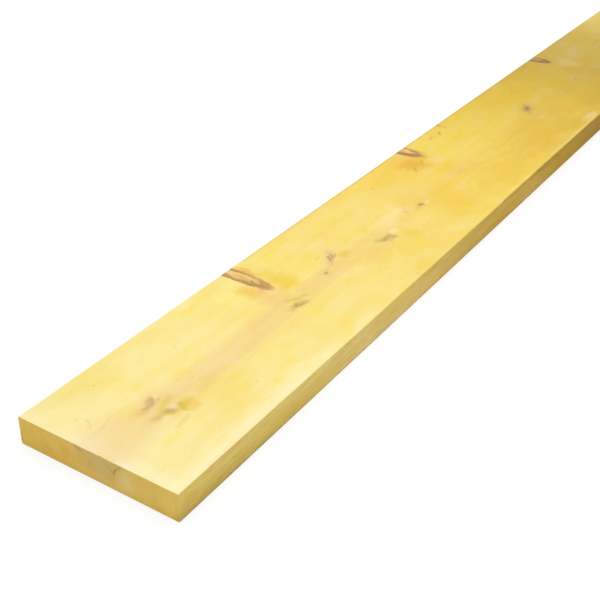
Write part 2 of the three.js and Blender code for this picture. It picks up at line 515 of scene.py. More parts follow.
MARKS = [
    # The knots of the first whorl.
    Mark((87, 109, 38), (106, 100, 38), 4.4, "d6b070", 0.42),
    Mark((87, 106, 38), (92, 108.5, 38), 2.4, "c79b5c", 0.55),
    Mark((98, 109, 38), (104, 104, 38), 3.2, "c39a74", 0.48),
    Mark((104, 103, 38), (109, 98, 38), 2.4, "c8a374", 0.45),
    Mark((79, 126, 38), (84, 131, 38), 3.0, "d9b570", 0.38),
    Mark((84, 131, 38), (96, 126, 38), 3.0, "d2b860", 0.42),
    Mark((106, 110, 38), (113, 106, 38), 2.2, "d0ae68", 0.50),
    Mark((98, 130, 38), (104, 134, 38), 3.8, "bba052", 0.56),
    Mark((99, 127, 38), (103, 127, 38), 2.4, "c8a470", 0.40),
    Mark((98, 122, 38), (121, 113.5, 38), 3.8, "dcc658", 0.52),
    Mark((113.5, 144, 38), (119, 132, 38), 2.8, "cdb048", 0.50),
    # The great spike knot: its dark outlines, the bruise in its side and its tip.
    Mark((371.5, 0, 38), (371.2, 26, 38), 1.1, "8a5c28", 0.55),
    Mark((371.2, 26, 38), (373, 48, 38), 1.1, "8c6632", 0.42),
    Mark((374, 48, 38), (378, 66, 38), 1.4, "9a6a2c", 0.50),
    Mark((376, 28, 38), (377.5, 50, 38), 3.4, "a5803f", 0.50),
    Mark((371.5, 0, 38), (372.5, 7, 38), 2.2, "8a6232", 0.36),
    Mark((380, 46.5, 38), (382, 43, 38), 1.7, "6e451c", 0.65),
    Mark((388, 48, 38), (386, 57, 38), 2.8, "c2935a", 0.45),
    Mark((380, 48, 38), (379, 60, 38), 3.6, "b4834c", 0.55),
    Mark((393, 0, 38), (393.4, 13, 38), 1.2, "8f6024", 0.26),
    Mark((391.5, 2, 38), (391.8, 22, 38), 2.4, "ac743a", 0.45),
    Mark((392.5, 18, 38), (391.5, 44, 38), 1.0, "a2762c", 0.28),
    # The second whorl's small knots.
    Mark((353, 129, 38), (366, 126, 38), 3.2, "c49c58", 0.42),
    Mark((361, 129, 38), (368, 124, 38), 2.0, "a97e3c", 0.46),
    Mark((367, 130, 38), (374, 132, 38), 2.4, "a97e38", 0.46),
    Mark((373, 130, 38), (380, 134, 38), 2.8, "c49c60", 0.36),
    Mark((366, 111, 38), (378, 119, 38), 3.6, "d8be48", 0.60),
    Mark((378, 119, 38), (394, 122, 38), 3.0, "d8be48", 0.65),
    Mark((454, 116, 38), (458, 114, 38), 2.2, "a88a44", 0.34),
    Mark((463, 112, 38), (470, 110, 38), 2.4, "dfb976", 0.50),
    Mark((482, 106, 38), (508, 86, 38), 5.6, "dfb47c", 0.42),
    Mark((488.5, 102.5, 38), (496, 93, 38), 1.7, "a2763c", 0.60),
    Mark((496, 101, 38), (503.5, 93.5, 38), 1.7, "a2763c", 0.54),
    Mark((502, 101.5, 38), (508, 97, 38), 1.7, "b98e4e", 0.50),
    Mark((480, 84, 38), (488, 83, 38), 1.8, "ddb84c", 0.50),
    Mark((574, 126, 38), (586, 133, 38), 4.0, "c7a15c", 0.34),
    Mark((582, 135, 38), (601, 132, 38), 3.4, "b08a42", 0.50),
    Mark((588, 143, 38), (598, 140, 38), 3.6, "cfa764", 0.45),
    Mark((600, 138, 38), (604, 143, 38), 3.0, "bd9f3d", 0.70),
    Mark((676, 124, 38), (678, 116, 38), 2.2, "d0b466", 0.45),
    Mark((684, 113, 38), (689, 110, 38), 2.0, "dcb682", 0.45),
    Mark((711, 124, 38), (719, 124.5, 38), 2.6, "a17839", 0.30),
    Mark((703, 131, 38), (710, 127, 38), 2.4, "dcb366", 0.45),
    Mark((692, 130, 38), (704, 125, 38), 2.4, "dfb564", 0.40),
    Mark((724, 34, 38), (718, 41, 38), 1.6, "b58d3b", 0.35),
    # The third whorl and the specks round it.
    Mark((866, 8, 38), (872, 28, 38), 3.0, "99622f", 0.45),
    Mark((868, 26, 38), (873, 38, 38), 3.4, "ac7742", 0.22),
    Mark((886, 14, 38), (888, 26, 38), 2.6, "a7812f", 0.60),
    Mark((889, 32, 38), (888, 42, 38), 2.2, "bb9737", 0.45),
    Mark((825, 57, 38), (818, 62, 38), 2.0, "a5782f", 0.42),
    Mark((858, 52, 38), (847, 58, 38), 1.8, "b58933", 0.38),
    Mark((957, 20, 38), (947, 22, 38), 2.0, "a07e00", 0.40),
    Mark((985, 20, 38), (977, 25, 38), 2.2, "9c7200", 0.48),
    Mark((1012, 0, 38), (1009, 9, 38), 3.0, "c98030", 0.60),
    Mark((1015, 10, 38), (1010, 20, 38), 2.0, "c3983a", 0.40),
    Mark((1157, 118, 38), (1167, 112, 38), 4.0, "ac8e38", 0.32),
    Mark((1167, 106, 38), (1180, 102, 38), 5.2, "ae7d47", 0.45),
    Mark((1180, 104, 38), (1187, 101.5, 38), 3.0, "7c4400", 0.48),
    Mark((1188, 95, 38), (1193, 92, 38), 3.0, "a4812c", 0.30),
    Mark((1252, 41, 38), (1243, 45, 38), 2.2, "ad8b39", 0.30),
    Mark((1291, 73, 38), (1283, 77, 38), 2.2, "ac8b39", 0.30),
    Mark((1437, 2, 38), (1440, 15, 38), 4.6, "93855e", 0.40),
    Mark((1440, 22, 38), (1446, 38, 38), 4.6, "864c00", 0.60),
    Mark((1434, 28, 38), (1437, 38, 38), 3.4, "8c5a14", 0.34),
    Mark((1392, 118, 38), (1380, 123, 38), 2.4, "977534", 0.35),
    # Painted shade along the rounded left and right arrises, a painted highlight beside the right one,
    # and a yellower line along the right arris by the near end.
    Mark((420, 2.5, 38), (1700, 2.5, 38), 3.0, "a8893a", 0.20),
    Mark((800, 225, 37.4), (1190, 225, 37.4), 1.8, "98741c", 0.40),
    Mark((840, 220.4, 38), (1215, 220.4, 38), 1.8, "fff6b4", 0.20),
    Mark((52, 223.5, 38), (180, 223.5, 38), 3.2, "f0d88c", 0.26),
    # Scratches and pin marks near the near end.
    Mark((36, 90, 38), (54, 85, 38), 1.8, "c8a868", 0.16),
    Mark((54, 85, 38), (90, 87, 38), 1.8, "c8a868", 0.12),
    Mark((84, 156, 38), (108, 153, 38), 3.0, "c0a85c", 0.22),
    Mark((37, 67, 38), (35, 73, 38), 1.8, "b59a70", 0.22),
    Mark((33, 76, 38), (30, 80, 38), 1.4, "bfa678", 0.18),
    Mark((89, 29, 38), (88, 32, 38), 1.6, "a8924c", 0.20),
    Mark((32, 54, 38), (30, 57, 38), 1.4, "b5a068", 0.16),
    Mark((204, 55, 38), (200, 59, 38), 2.0, "d3b858", 0.20),
    Mark((167, 112, 38), (164, 114, 38), 1.6, "b5964c", 0.16),
    Mark((202, 178, 38), (200, 182, 38), 1.5, "b5a04c", 0.16),
    # Beside the check in the near end, and the bruises on its left and upper sides.
    Mark((0, 137, 24.5), (0, 127, 32), 2.2, "96824a", 0.40),
    Mark((0, 139, 27), (0, 147, 36), 1.8, "96824a", 0.45),
    Mark((0, 101.5, 18), (0, 102.2, 22), 1.0, "8c7a42", 0.50),
    Mark((0, 104.4, 19), (0, 104.8, 23), 1.0, "f3e6a6", 0.50),
    Mark((0, 107, 21), (0, 107.4, 24.5), 1.0, "8c7a42", 0.45),
    Mark((0, 141.5, 18), (0, 141.8, 23), 1.2, "f3e6b4", 0.45),
    Mark((0, 119, 35.5), (0, 119.5, 38), 1.0, "8c7a42", 0.50),
    Mark((0, 123, 35.5), (0, 124, 38), 1.0, "8c7a42", 0.50),
    Mark((0, 85, 36.5), (0, 92, 33), 1.8, "8f7640", 0.45),
    Mark((0, 40, 14), (0, 44, 12), 3.4, "c79c44", 0.14),
    Mark((0, 64, 24), (0, 70, 20), 5.0, "cba044", 0.14),
    Mark((0, 0.8, 12), (0, 1.4, 16), 1.2, "7c5a2c", 0.35),
    Mark((0, 0.8, 5), (0, 1.4, 9), 1.2, "7c5a2c", 0.45),
]

BARK_LINE = "8a5f35"  # the line round a branch
STAIN_FADE = (1.3, 0.1)  # a stain grows between these shares of its reach
STAIN_RAGGEDNESS = 1.1
GLAZE_RAGGEDNESS = 0.5  # against a stain's
WANDER_FINENESS = 0.10  # per millimetre
BRANCH_WANDER = 6.0  # how far branches' outlines stray
RING_WANDER = 0.25  # how much of that the rings round them stray
MARK_WANDER = 0.5  # and the small marks

# The wood's colour at places along the plank: partly its own tone, partly painted shade, darkest round
# 1350 mm.
TONE_AND_SHADE_ALONG = [
    (0, "f7e9a5"),
    (170, "f5e496"),
    (330, "f3df87"),
    (550, "f1d97b"),
    (650, "f2d87a"),
    (780, "f0d15e"),
    (930, "f1d45f"),
    (1050, "ebcb53"),
    (1200, "e3c241"),
    (1350, "d3b134"),
    (1468, "ccad3e"),
    (1650, "d0b24a"),
    (1850, "ebcf6e"),
    (2400, "f0d87a"),
]

# A tint colours the wood where a pattern in it is strong: its colour, how much of it there is at most,
# and the pattern's values where it starts and where it is full.
Tint = namedtuple("Tint", "colour amount start full")

YELLOW_CLOUD = Tint("fffabc", 0.75, 0.50, 0.68)
ORANGE_CLOUD = Tint("fdf3ca", 0.45, 0.50, 0.70)
PALE_CLOUD = Tint("002c50", 0.80, 0.48, 0.30)
STREAK = Tint("fdf4c4", 0.25, 0.50, 0.72)
FIBRE = Tint("efdfaa", 0.13, 0.55, 0.75)
RESIN_DUCT = Tint("a07c44", 0.30, 0.69, 0.78)
LATEWOOD = "f2dfa4"

# How closely each pattern in the wood repeats along, across and in height, per millimetre.
KNOT_MOTTLE_FINENESS = (0.22, 0.40, 0.40)
SWAY_FINENESS = (0.0022, 0.012, 0.012)
FIBRE_FINENESS = (0.012, 1.1, 1.1)
DUCT_FINENESS = (0.09, 1.7, 1.7)
STREAK_FINENESS = (0.0016, 0.055, 0.055)
CLOUD_FINENESS = (0.014, 0.026, 0.026)
PATCH_FINENESS = (0.008, 0.018, 0.018)
STAIN_RIM_FINENESS = (0.03, 0.06, 0.06)

# The older, duller wood round the pith, which is HEART_EXTRA wider on each side at the near end.
HEART_ACROSS = 120
HEART_HALF_WIDTH = 16
HEART_EXTRA = 20
HEART_NARROWING = 160
HEART_DEPTH = 0.9  # against its half width
HEART_EDGE = (1.25, 0.45)  # it grows between these shares of its half width
HEART_RAGGEDNESS = 0.8
HEART_TINT = "fbf1fa"
SWAY_REACH = 14.0
# How strong some patterns are along the plank, in height or with the streaks, as ramps: between which
# values, and from which strength to which.
HEART_ALONG = (750, 350, 0.25, 1.0)
CLOUD_ALONG = (300, 1000, 0.85, 1.1)
CLOUD_IN_HEIGHT = (6, 30, 0.6, 1.0)
LATEWOOD_IN_HEIGHT = (6, 30, 2.2, 1.0)
LATEWOOD_IN_STREAK = (0.30, 0.62, 0.02, 0.12)

# ---------------------------------------------------------------- figure of the wood


def branch_group():
    """One branch: lays its section over the colour so far, and adds to how far the rings are pulled."""
    tree, have, end = new_group(
        "branch",
        "ShaderNodeTree",
        {
            "Place": "vector",
            "Mottle": "number",
            "Start": "vector",
            "Heading": "vector",
            "Start Radius": "number",
            "Taper": "number",
            "Lean": "number",
            "Heart": "colour",
            "Heart Amount": "number",
            "Rim": "colour",
            "Rim Amount": "number",
            "Rim Width": "number",
            "Line Amount": "number",
            "Halo": "colour",
            "Halo Amount": "number",
            "Halo Reach": "number",
            "Soft": "number",
            "Squeezed Place": "vector",
            "Squeezed Start": "vector",
            "Squeezed Heading": "vector",
            "Colour": "colour",
            "Cover": "number",
            "Pull": "number",
        },
        {"Colour": "colour", "Cover": "number", "Pull": "number"},
    )
    offset = have["Place"].vector("SUBTRACT", have["Start"])
    out = offset.vector("DOT_PRODUCT", have["Heading"]).at_least(0)
    radius = have["Start Radius"] + out * have["Taper"]
    sideways = offset.vector("SUBTRACT", have["Heading"].scaled(out))
    from_axis = sideways.vector("LENGTH")
    gap = from_axis - radius
    towards_near_end = sideways.vector("DOT_PRODUCT", (-1, 0, 0)) / radius
    mottle = have["Mottle"]
    unevenness = mottle * RIM_UNEVENNESS + RIM_THINNEST
    inner_gap = gap + have["Rim Width"] * (1 + have["Lean"] * towards_near_end) * unevenness

    soft = have["Soft"]
    halo = (gap.at_least(0) * -1 / have["Halo Reach"]).math("EXPONENT") * have["Halo Amount"]
    in_branch = gap.ramp(soft, soft * -1)
    in_heart = inner_gap.ramp(soft, soft * -1)
    rim = in_branch * (1 - in_heart) * have["Rim Amount"] * mottle.ramp(*RIM_PATCHES)
    wave = (from_axis * (2 * math.pi / BRANCH_RING_WIDTH)).math("SINE")
    rings = wave * BRANCH_RING_SHADE + (1 - BRANCH_RING_SHADE)
    heart = in_heart * rings * have["Heart Amount"] * mottle.ramp(*HEART_PATCHES)
    in_core = (from_axis / radius + mottle * CORE_RAGGEDNESS).ramp(*CORE_EDGE)
    core = in_core * in_heart * have["Rim Amount"] * CORE_AMOUNT
    near_line = gap / (soft * LINE_WIDTH)
    line = (near_line * near_line * -1).math("EXPONENT") * have["Line Amount"]

    colour = blend(tree, halo, have["Colour"], have["Halo"])
    colour = blend(tree, heart, colour, have["Heart"])
    colour = blend(tree, core, colour, have["Rim"])
    colour = blend(tree, rim, colour, have["Rim"])
    colour = blend(tree, line, colour, tone(BARK_LINE))
    left_bare = (1 - halo) * (1 - heart) * (1 - core) * (1 - rim) * (1 - line)
    cover = 1 - (1 - have["Cover"]) * left_bare

    squeezed = have["Squeezed Place"].vector("SUBTRACT", have["Squeezed Start"])
    along = squeezed.vector("DOT_PRODUCT", have["Squeezed Heading"]).at_least(0)
    past = squeezed.vector("SUBTRACT", have["Squeezed Heading"].scaled(along)).vector("LENGTH")
    beyond = (past - radius * RING_PULL_START).at_least(0)
    pull = (beyond * (-1 / RING_PULL_REACH)).math("EXPONENT") * radius * RING_PULL

    feed(end.inputs["Colour"], colour)
    feed(end.inputs["Cover"], cover)
    feed(end.inputs["Pull"], have["Pull"] + pull)
    return tree


def stain_group():
    """Lays a colour over one soft spot."""
    tree, have, end = new_group(
        "stain",
        "ShaderNodeTree",
        {
            "Place": "vector",
            "Ragged": "number",
            "Middle": "vector",
            "Reach": "vector",
            "Stain": "colour",
            "Amount": "number",
            "Colour": "colour",
        },
        {"Colour": "colour"},
    )
    offset = have["Place"].vector("SUBTRACT", have["Middle"])
    away = offset.vector("DIVIDE", have["Reach"]).vector("LENGTH")
    inside = (away + have["Ragged"]).ramp(*STAIN_FADE) * have["Amount"]
    feed(end.inputs["Colour"], blend(tree, inside, have["Colour"], have["Stain"]))
    return tree


def mark_group():
    """Lays one mark over the colour so far."""
    tree, have, end = new_group(
        "mark",
        "ShaderNodeTree",
        {
            "Place": "vector",
            "Start": "vector",
            "Way": "vector",
            "Width": "number",
            "Mark": "colour",
            "Amount": "number",
            "Colour": "colour",
        },
        {"Colour": "colour"},
    )
    offset = have["Place"].vector("SUBTRACT", have["Start"])
    way = have["Way"]
    share = (offset.vector("DOT_PRODUCT", way) / way.vector("DOT_PRODUCT", way)).at_least(0).at_most(1)
    aside = offset.vector("SUBTRACT", way.scaled(share)).vector("LENGTH") / have["Width"]
    strength = (aside * aside * -1).math("EXPONENT") * have["Amount"]
    feed(end.inputs["Colour"], blend(tree, strength, have["Colour"], have["Mark"]))
    return tree


def lay_branches(tree, at, wander, wandered):
    """Chains every branch.

    Returns the colour laid, how much of the wood it covers and how far it pulls the rings out.
    """
    group = branch_group()
    mottle = noise(tree, at, KNOT_MOTTLE_FINENESS, 3.0, 0.6)
    squeeze = Vector((ALONG_GRAIN_SQUEEZE, 1, 1))
    squeezed = at.vector("ADD", wander.scaled(RING_WANDER)).vector("MULTIPLY", as_vector(squeeze))
    state = {"Colour": (0.0, 0.0, 0.0, 1.0), "Cover": 0.0, "Pull": 0.0}
    for branch in BRANCHES:
        finish = FINISHES[branch.finish]
        start = place(*branch.start) / MM
        way = place(*branch.end) / MM - start
        state = use_group(
            tree,
            group,
            {
                "Place": wandered,
                "Mottle": mottle,
                "Start": as_vector(start),
                "Heading": as_vector(way.normalized()),
                "Start Radius": branch.start_radius,
                "Taper": (branch.end_radius - branch.start_radius) / way.length,
                "Lean": branch.lean,
                "Heart": tone(finish.heart),
                "Heart Amount": finish.heart_amount,
                "Rim": tone(finish.rim),
                "Rim Amount": finish.rim_amount,
                "Rim Width": finish.rim_width,
                "Line Amount": finish.line_amount,
                "Halo": tone(finish.halo),
                "Halo Amount": finish.halo_amount,
                "Halo Reach": finish.halo_reach,
                "Soft": finish.soft,
                "Squeezed Place": squeezed,
                "Squeezed Start": as_vector(start * squeeze),
                "Squeezed Heading": as_vector((way * squeeze).normalized()),
                **state,
            },
        )
    return state


def lay_stains(tree, group, at, ragged, stains, colour):
    """Lays stains over a colour."""
    for spot in stains:
        values = {
            "Place": at,
            "Ragged": ragged,
            "Middle": as_vector(place(*spot.middle) / MM),
            "Reach": as_vector(spot.reach),
            "Stain": tone(spot.colour),
            "Amount": spot.amount,
            "Colour": colour,
        }
        colour = use_group(tree, group, values)["Colour"]
    return colour


def lay_marks(tree, at, wander, colour):
    """Lays every mark over a colour, each a little crooked."""
    group = mark_group()
    strayed = at.vector("ADD", wander.scaled(MARK_WANDER))
    for mark in MARKS:
        start = place(*mark.start) / MM
        values = {
            "Place": strayed,
            "Start": as_vector(start),
            "Way": as_vector(place(*mark.end) / MM - start),
            "Width": mark.width,
            "Mark": tone(mark.colour),
            "Amount": mark.amount,
            "Colour": colour,
        }
        colour = use_group(tree, group, values)["Colour"]
    return colour


def lay_tint(tree, pattern, tint, colour, share=1.0, mode="MULTIPLY"):
    """Tints a colour where a pattern is strong, with a share of the tint's amount."""
    amount = pattern.ramp(tint.start, tint.full) * (tint.amount * share)
    return blend(tree, amount, colour, tone(tint.colour), mode)


def latewood_mask(tree, at, along, across, height, pull):
    """The dark side of each growth ring, from 0 to 1."""
    # The distance from the pith, with the slow sway of a tree that didn't grow quite straight.
    drift = (along * (-1 / PITH_DRIFT_LENGTH)).math("EXPONENT") * PITH_END_DRIFT
    pith_across = PITH_ACROSS + drift + along * PITH_SLOPE
    pith_height = PITH_HEIGHT - along * PITH_FALL
    sway = noise(tree, at, SWAY_FINENESS) - 0.5
    aside = across - pith_across
    above = height - pith_height
    from_pith = (aside * aside + above * above).math("SQRT")
    radius = from_pith - pull + sway * SWAY_REACH
    uneven = noise_along(tree, radius * RING_BUNCH_FINENESS) - 0.5
    ring = (radius / RING_WIDTH + uneven * RING_UNEVENNESS).math("FRACT")
    return ring.ramp(*LATEWOOD_RISE) * ring.ramp(*LATEWOOD_END)


def heartwood_mask(along, across, height, streak):
    """The wood round the pith, from 0 to 1, widest at the near end."""
    half = (along * (-1 / HEART_NARROWING)).math("EXPONENT") * HEART_EXTRA + HEART_HALF_WIDTH
    aside = (across - HEART_ACROSS) / half
    above = (height - THICKNESS) / (half * HEART_DEPTH)
    away = (aside * aside + above * above).math("SQRT")
    inside = (away + (streak - 0.5) * HEART_RAGGEDNESS).ramp(*HEART_EDGE)
    return inside * along.ramp(*HEART_ALONG)


def figure_group():
    """The figure of the timber: its colour at any place in millimetres, and the masks with it."""
    tree, have, end = new_group(
        "timber_figure",
        "ShaderNodeTree",
        {"Place": "vector"},
        {
            "Colour": "colour",
            "Strayed Place": "vector",
            "Heartwood": "number",
            "Knot": "number",
            "Fibre": "number",
        },
    )
    at = have["Place"]
    along_x, across_y, height = at.parts()
    along = along_x + LENGTH / 2
    across = WIDTH / 2 - across_y

    stray = noise_vector(tree, at, WANDER_FINENESS, 3.0).vector("SUBTRACT", (0.5, 0.5, 0.5))
    wander = stray.scaled(BRANCH_WANDER)
    wandered = at.vector("ADD", wander)
    branches = lay_branches(tree, at, wander, wandered)
    latewood = latewood_mask(tree, at, along, across, height, branches["Pull"])

    # Fibres, resin ducts and broader streaks run along the grain, and soft clouds lie across them.
    fibre = noise(tree, at, FIBRE_FINENESS, 3.0, 0.6)
    duct = noise(tree, at, DUCT_FINENESS, 1.0)
    streak = noise(tree, at, STREAK_FINENESS, 3.0, 0.55)
    cloud = noise(tree, at, CLOUD_FINENESS, 3.0, 0.6, 0.4) - 0.5
    cloud = cloud * along.ramp(*CLOUD_ALONG) * height.ramp(*CLOUD_IN_HEIGHT) + 0.5
    patch = noise(tree, at, PATCH_FINENESS, 1.0)

    # The tone along the plank, with its painted shade.
    tones = [(distance / LENGTH, code) for distance, code in TONE_AND_SHADE_ALONG]
    colour = graded(tree, along / LENGTH, tones)
    colour = lay_tint(tree, cloud, YELLOW_CLOUD, colour)
    colour = lay_tint(tree, patch, ORANGE_CLOUD, colour)
    colour = lay_tint(tree, cloud, PALE_CLOUD, colour, mode="ADD")
    stain = stain_group()
    ragged = (noise(tree, at, STAIN_RIM_FINENESS) - 0.5) * STAIN_RAGGEDNESS
    colour = lay_stains(tree, stain, wandered, ragged, STAINS, colour)

    heartwood = heartwood_mask(along, across, height, streak)
    colour = blend(tree, heartwood, colour, tone(HEART_TINT), "MULTIPLY")
    colour = lay_tint(tree, streak, STREAK, colour)
    dark_rings = latewood * streak.ramp(*LATEWOOD_IN_STREAK) * height.ramp(*LATEWOOD_IN_HEIGHT)
    colour = blend(tree, dark_rings, colour, tone(LATEWOOD), "MULTIPLY")
    colour = lay_tint(tree, fibre, FIBRE, colour)
    colour = lay_tint(tree, duct, RESIN_DUCT, colour, mode="MIX")

    # The branches' colours were laid on nothing, so their cover says how much of the wood still shows.
    bare = blend(tree, branches["Cover"], colour, (0.0, 0.0, 0.0, 1.0))
    colour = blend(tree, 1.0, bare, branches["Colour"], "ADD")
    colour = lay_stains(tree, stain, wandered, ragged * GLAZE_RAGGEDNESS, GLAZES, colour)
    colour = lay_marks(tree, at, wander, colour)

    feed(end.inputs["Colour"], colour)
    feed(end.inputs["Strayed Place"], wandered)
    feed(end.inputs["Heartwood"], heartwood)
    feed(end.inputs["Knot"], branches["Cover"])
    feed(end.inputs["Fibre"], fibre)
    return tree


# ---------------------------------------------------------------- finishes

DRY_SHEEN = 0.22  # dry planed wood shines less than a varnish

# How each kind of surface shows the figure: what its colour is multiplied by at places along the plank,
# which on the edges and ends is partly painted shade, the colour that it turns to round the pith and by
# how much, how strong its grain and its blotches are, how much painted shade darkens its foot, how rough
# the wood and its knots are, how deep its fibres and its saw marks are, and how strongly that relief
# shows.
WoodFinish = namedtuple(
    "WoodFinish",
    "tints heart heart_amount grain blotches grime roughness knot_roughness fibre_depth saw_depth bump",
)

PLAIN = [(0, "ffffff"), (2400, "ffffff")]
# The edges' tints: partly the wood's own tone, partly painted shade that deepens and yellows the sides.
EDGE_TONE_AND_SHADE = [
    (0, "f1e3a2"),
    (200, "f3e8b4"),
    (350, "f5eccc"),
    (500, "f7edda"),
    (700, "e2dbbc"),
    (900, "e4d9ba"),
    (1100, "d0c73c"),
    (1200, "cfbf36"),
    (1600, "ded08c"),
    (2400, "eee2be"),
]
# The ends' tint: partly the end grain's own tone, partly painted shade that deepens and yellows the ends.
END_TONE_AND_SHADE = [(0, "f7de9a"), (2400, "f7de9a")]

WOOD_FINISHES = {
    "planed_face": WoodFinish(PLAIN, "ffffff", 0.0, 0.0, 0.0, 0.0, 0.60, 0.46, 0.05, 0.0, 0.25),
    "planed_edge": WoodFinish(EDGE_TONE_AND_SHADE, "ffffff", 0.0, 0.55, 1.0, 0.60, 0.62, 0.48, 0.05, 0.0, 0.25),
    "sawn_end": WoodFinish(END_TONE_AND_SHADE, "dcc47c", 0.70, 0.0, 0.25, 0.0, 0.82, 0.75, 0.08, 1.0, 0.60),
}
GRAIN = Tint("e2cd96", 1.0, 0.45, 0.68)
OLIVE_BLOTCH = Tint("f6f3cc", 1.0, 0.46, 0.34)
PINK_BLOTCH = Tint("fff3ee", 1.0, 0.52, 0.66)
BLOTCH_FINENESS = (0.02, 0.07, 0.07)
# Painted shade along the foot of the edges: darker towards the underside, where the floor meets them.
FOOT_SHADE = Tint("8f7f55", 1.0, 5.0, 0.5)  # by the height above the underside
FOOT_SHADE_RAGGEDNESS = 6
# The arcs of the saw: their centre is the saw's axle, well outside the plank.
SAW_CENTRE = (0, -260, -190)
SAW_PITCH = 1.9
SAW_UNEVENNESS = 5
SAW_BUNCH_FINENESS = 0.13
SAW_SWING = 0.6
SAW_RELIEF = 0.08
SAW_TINT = Tint("b08a48", 0.10, 0.6, 1.0)


def saw_marks(tree, at):
    """The fine arcs that a circular saw leaves, from 0 to 1."""
    middle = (0.0, *as_vector(place(*SAW_CENTRE) / MM)[1:])
    reach = at.vector("MULTIPLY", (0, 1, 1)).vector("SUBTRACT", middle).vector("LENGTH")
    uneven = noise_along(tree, reach * SAW_BUNCH_FINENESS)
    arcs = (reach / SAW_PITCH + uneven * SAW_UNEVENNESS) * (2 * math.pi)
    return arcs.math("SINE") * uneven * SAW_SWING + 0.5


def wood_material(name, figure):
    finish = WOOD_FINISHES[name]
    material = bpy.data.materials.new(name)
    material.use_nodes = True
    tree = material.node_tree
    shader = tree.nodes["Principled BSDF"]
    shader.inputs["Specular IOR Level"].default_value = DRY_SHEEN
    coordinates = tree.nodes.new("ShaderNodeTexCoord")
    at = Field(tree, coordinates.outputs["Object"]).scaled(1 / MM)
    wood = use_group(tree, figure, {"Place": at})

    strayed = wood["Strayed Place"]
    strayed_x, _, strayed_height = strayed.parts()
    tints = [(along / LENGTH, code) for along, code in finish.tints]
    tint = graded(tree, strayed_x / LENGTH + 0.5, tints)
    colour = blend(tree, 1.0, wood["Colour"], tint, "MULTIPLY")
    colour = blend(tree, wood["Heartwood"] * finish.heart_amount, colour, tone(finish.heart))
    if finish.grain:
        colour = lay_tint(tree, wood["Fibre"], GRAIN, colour, finish.grain)
    if finish.blotches:
        blotch = noise(tree, strayed, BLOTCH_FINENESS, 4.0, 0.7)
        colour = lay_tint(tree, blotch, OLIVE_BLOTCH, colour, finish.blotches)
        colour = lay_tint(tree, blotch, PINK_BLOTCH, colour, finish.blotches)
    # Painted shade along the foot, darker towards the underside.
    if finish.grime:
        above_foot = strayed_height + (wood["Fibre"] - 0.5) * FOOT_SHADE_RAGGEDNESS
        colour = lay_tint(tree, above_foot, FOOT_SHADE, colour, finish.grime, "MIX")
    relief = wood["Fibre"] * finish.fibre_depth
    if finish.saw_depth:
        saw = saw_marks(tree, at)
        relief = relief + saw * SAW_RELIEF * finish.saw_depth
        colour = lay_tint(tree, saw, SAW_TINT, colour, finish.saw_depth, "MIX")
    feed(shader.inputs["Base Color"], colour)
    rough = wood["Knot"].ramp(0.0, 1.0, finish.roughness, finish.knot_roughness)
    feed(shader.inputs["Roughness"], rough)

    bump = tree.nodes.new("ShaderNodeBump")
    bump.inputs["Strength"].default_value = finish.bump
    bump.inputs["Distance"].default_value = MM
    feed(bump.inputs["Height"], relief)
    feed(shader.inputs["Normal"], Field(tree, bump.outputs["Normal"]))
    return material


# ---------------------------------------------------------------- body

GRID_ALONG = 800
GRID_ACROSS = 36
GRID_HEIGHT = 14
RIM_ROWS = 4  # grid lines that turn each arris
GUARD = 0.8  # a narrow row beside each arris, so that the arris's shading stays off the flats
SHARP_ANGLE = math.radians(40)
WEAR_DEPTH = 0.3
NICK_DEPTH = 0.8
WEAR_FINENESS = (18, 30, 30)  # per metre
NICK_FINENESS = (55, 90, 90)
NICK_EDGE = (0.66, 0.80)  # the nicks are where their noise is over these values
WEAR_START = (0.0, 0.5)  # the wear grows over the first half of the way to an arris's middle
NEVER_ZERO = 1e-12


def grid_place(grid, half, rim, rows):
    """Where a grid line from -1 to 1 lies across the section.

    A few lines turn the arris, one guards it and the rest are on the flat.
    """
    size = grid.math("ABSOLUTE")
    row = 2 / rows
    rim_start = 1 - RIM_ROWS * row
    guard_start = rim_start - row
    on_flat = (size / guard_start).at_most(1) * (half - rim - GUARD * MM)
    on_guard = size.ramp(guard_start, rim_start, 0, GUARD * MM, smooth=False)
    on_rim = size.ramp(rim_start, 1, 0, rim, smooth=False)
    return (on_flat + on_guard + on_rim) * grid.math("SIGN")


